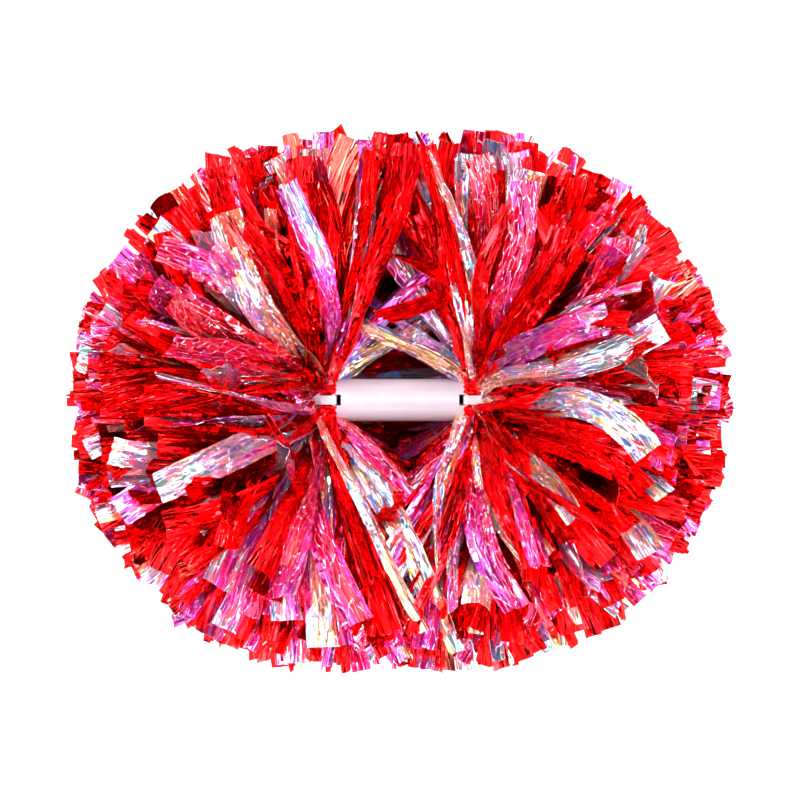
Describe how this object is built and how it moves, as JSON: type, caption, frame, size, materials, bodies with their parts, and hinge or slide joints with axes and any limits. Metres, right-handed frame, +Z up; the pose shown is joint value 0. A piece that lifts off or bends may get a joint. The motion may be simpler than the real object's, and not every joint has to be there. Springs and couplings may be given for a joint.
{
  "type": "cheer pom pom",
  "caption": "Baton-handled cheer pom pom: balls of metallic and pearl film streamers, cinched by cable ties to the ends of a plastic tube grip.",
  "frame": {"origin": "on the surface that the pom pom lies on, under the middle of the handle and of the whole object's box", "axes": "+X along the handle towards the right-hand ball, +Y across the handle, +Z up from the surface"},
  "size_m": [0.412, 0.3318, 0.2354],
  "materials": {
    "handle_plastic": "smooth extruded polypropylene tube",
    "tie_nylon": "moulded nylon",
    "red_foil": "metallised red polyester film, crinkled",
    "pearl_film": "iridescent pink polyester film, crinkled"
  },
  "bodies": {
    "handle": {"handle_tube": "handle_plastic", "left_gathered_core": "red_foil", "left_tie_band": "tie_nylon", "left_end_fringe": "red_foil", "left_foil_fringe_3": "red_foil", "left_pearl_fringe_3": "pearl_film", "left_foil_fringe_4": "red_foil", "left_pearl_fringe_4": "pearl_film", "right_gathered_core": "red_foil", "right_tie_band": "tie_nylon", "right_end_fringe": "red_foil", "right_foil_fringe_3": "red_foil", "right_pearl_fringe_3": "pearl_film", "right_foil_fringe_4": "red_foil", "right_pearl_fringe_4": "pearl_film"},
    "left_foil_fringe_1": {"left_foil_fringe_1": "red_foil"},
    "left_pearl_fringe_1": {"left_pearl_fringe_1": "pearl_film"},
    "left_foil_fringe_2": {"left_foil_fringe_2": "red_foil"},
    "left_pearl_fringe_2": {"left_pearl_fringe_2": "pearl_film"},
    "left_foil_fringe_5": {"left_foil_fringe_5": "red_foil"},
    "left_pearl_fringe_5": {"left_pearl_fringe_5": "pearl_film"},
    "left_foil_fringe_6": {"left_foil_fringe_6": "red_foil"},
    "left_pearl_fringe_6": {"left_pearl_fringe_6": "pearl_film"},
    "left_tie_pawl": {"left_tie_pawl": "tie_nylon"},
    "right_foil_fringe_1": {"right_foil_fringe_1": "red_foil"},
    "right_pearl_fringe_1": {"right_pearl_fringe_1": "pearl_film"},
    "right_foil_fringe_2": {"right_foil_fringe_2": "red_foil"},
    "right_pearl_fringe_2": {"right_pearl_fringe_2": "pearl_film"},
    "right_foil_fringe_5": {"right_foil_fringe_5": "red_foil"},
    "right_pearl_fringe_5": {"right_pearl_fringe_5": "pearl_film"},
    "right_foil_fringe_6": {"right_foil_fringe_6": "red_foil"},
    "right_pearl_fringe_6": {"right_pearl_fringe_6": "pearl_film"},
    "right_tie_pawl": {"right_tie_pawl": "tie_nylon"}
  },
  "joints": [
    {"name": "left_foil_fringe_1_bend", "type": "hinge", "parent": "handle", "child": "left_foil_fringe_1", "pos_m": [-0.0495, 0, 0.1], "axis": [0, -0.9659, 0.2588], "range_deg": [0, 15], "stiffness_Nm_per_rad": 0.15, "springref_deg": -3.44},
    {"name": "left_pearl_fringe_1_bend", "type": "hinge", "parent": "handle", "child": "left_pearl_fringe_1", "pos_m": [-0.0495, 0, 0.1], "axis": [0, -0.7071, 0.7071], "range_deg": [0, 15], "stiffness_Nm_per_rad": 0.15, "springref_deg": -3.44},
    {"name": "left_foil_fringe_2_bend", "type": "hinge", "parent": "handle", "child": "left_foil_fringe_2", "pos_m": [-0.0495, 0, 0.1], "axis": [0, -0.2588, 0.9659], "range_deg": [0, 15], "stiffness_Nm_per_rad": 0.15, "springref_deg": -3.44},
    {"name": "left_pearl_fringe_2_bend", "type": "hinge", "parent": "handle", "child": "left_pearl_fringe_2", "pos_m": [-0.0495, 0, 0.1], "axis": [0, 0.2588, 0.9659], "range_deg": [0, 15], "stiffness_Nm_per_rad": 0.15, "springref_deg": -3.44},
    {"name": "left_foil_fringe_5_bend", "type": "hinge", "parent": "handle", "child": "left_foil_fringe_5", "pos_m": [-0.0495, 0, 0.1], "axis": [0, 0.2588, -0.9659], "range_deg": [0, 15], "stiffness_Nm_per_rad": 0.15, "springref_deg": -3.44},
    {"name": "left_pearl_fringe_5_bend", "type": "hinge", "parent": "handle", "child": "left_pearl_fringe_5", "pos_m": [-0.0495, 0, 0.1], "axis": [0, -0.2588, -0.9659], "range_deg": [0, 15], "stiffness_Nm_per_rad": 0.15, "springref_deg": -3.44},
    {"name": "left_foil_fringe_6_bend", "type": "hinge", "parent": "handle", "child": "left_foil_fringe_6", "pos_m": [-0.0495, 0, 0.1], "axis": [0, -0.7071, -0.7071], "range_deg": [0, 15], "stiffness_Nm_per_rad": 0.15, "springref_deg": -3.44},
    {"name": "left_pearl_fringe_6_bend", "type": "hinge", "parent": "handle", "child": "left_pearl_fringe_6", "pos_m": [-0.0495, 0, 0.1], "axis": [0, -0.9659, -0.2588], "range_deg": [0, 15], "stiffness_Nm_per_rad": 0.15, "springref_deg": -3.44},
    {"name": "left_tie_pawl_lift", "type": "hinge", "parent": "handle", "child": "left_tie_pawl", "pos_m": [-0.06295, 0, 0.1012], "axis": [0, -1, 0], "range_deg": [0, 8], "stiffness_Nm_per_rad": 0.005, "springref_deg": -1.15},
    {"name": "right_foil_fringe_1_bend", "type": "hinge", "parent": "handle", "child": "right_foil_fringe_1", "pos_m": [0.0495, 0, 0.1], "axis": [0, 0.9659, -0.2588], "range_deg": [0, 15], "stiffness_Nm_per_rad": 0.15, "springref_deg": -3.44},
    {"name": "right_pearl_fringe_1_bend", "type": "hinge", "parent": "handle", "child": "right_pearl_fringe_1", "pos_m": [0.0495, 0, 0.1], "axis": [0, 0.7071, -0.7071], "range_deg": [0, 15], "stiffness_Nm_per_rad": 0.15, "springref_deg": -3.44},
    {"name": "right_foil_fringe_2_bend", "type": "hinge", "parent": "handle", "child": "right_foil_fringe_2", "pos_m": [0.0495, 0, 0.1], "axis": [0, 0.2588, -0.9659], "range_deg": [0, 15], "stiffness_Nm_per_rad": 0.15, "springref_deg": -3.44},
    {"name": "right_pearl_fringe_2_bend", "type": "hinge", "parent": "handle", "child": "right_pearl_fringe_2", "pos_m": [0.0495, 0, 0.1], "axis": [0, -0.2588, -0.9659], "range_deg": [0, 15], "stiffness_Nm_per_rad": 0.15, "springref_deg": -3.44},
    {"name": "right_foil_fringe_5_bend", "type": "hinge", "parent": "handle", "child": "right_foil_fringe_5", "pos_m": [0.0495, 0, 0.1], "axis": [0, -0.2588, 0.9659], "range_deg": [0, 15], "stiffness_Nm_per_rad": 0.15, "springref_deg": -3.44},
    {"name": "right_pearl_fringe_5_bend", "type": "hinge", "parent": "handle", "child": "right_pearl_fringe_5", "pos_m": [0.0495, 0, 0.1], "axis": [0, 0.2588, 0.9659], "range_deg": [0, 15], "stiffness_Nm_per_rad": 0.15, "springref_deg": -3.44},
    {"name": "right_foil_fringe_6_bend", "type": "hinge", "parent": "handle", "child": "right_foil_fringe_6", "pos_m": [0.0495, 0, 0.1], "axis": [0, 0.7071, 0.7071], "range_deg": [0, 15], "stiffness_Nm_per_rad": 0.15, "springref_deg": -3.44},
    {"name": "right_pearl_fringe_6_bend", "type": "hinge", "parent": "handle", "child": "right_pearl_fringe_6", "pos_m": [0.0495, 0, 0.1], "axis": [0, 0.9659, 0.2588], "range_deg": [0, 15], "stiffness_Nm_per_rad": 0.15, "springref_deg": -3.44},
    {"name": "right_tie_pawl_lift", "type": "hinge", "parent": "handle", "child": "right_tie_pawl", "pos_m": [0.06295, 0, 0.1012], "axis": [0, 1, 0], "range_deg": [0, 8], "stiffness_Nm_per_rad": 0.005, "springref_deg": -1.15}
  ]
}
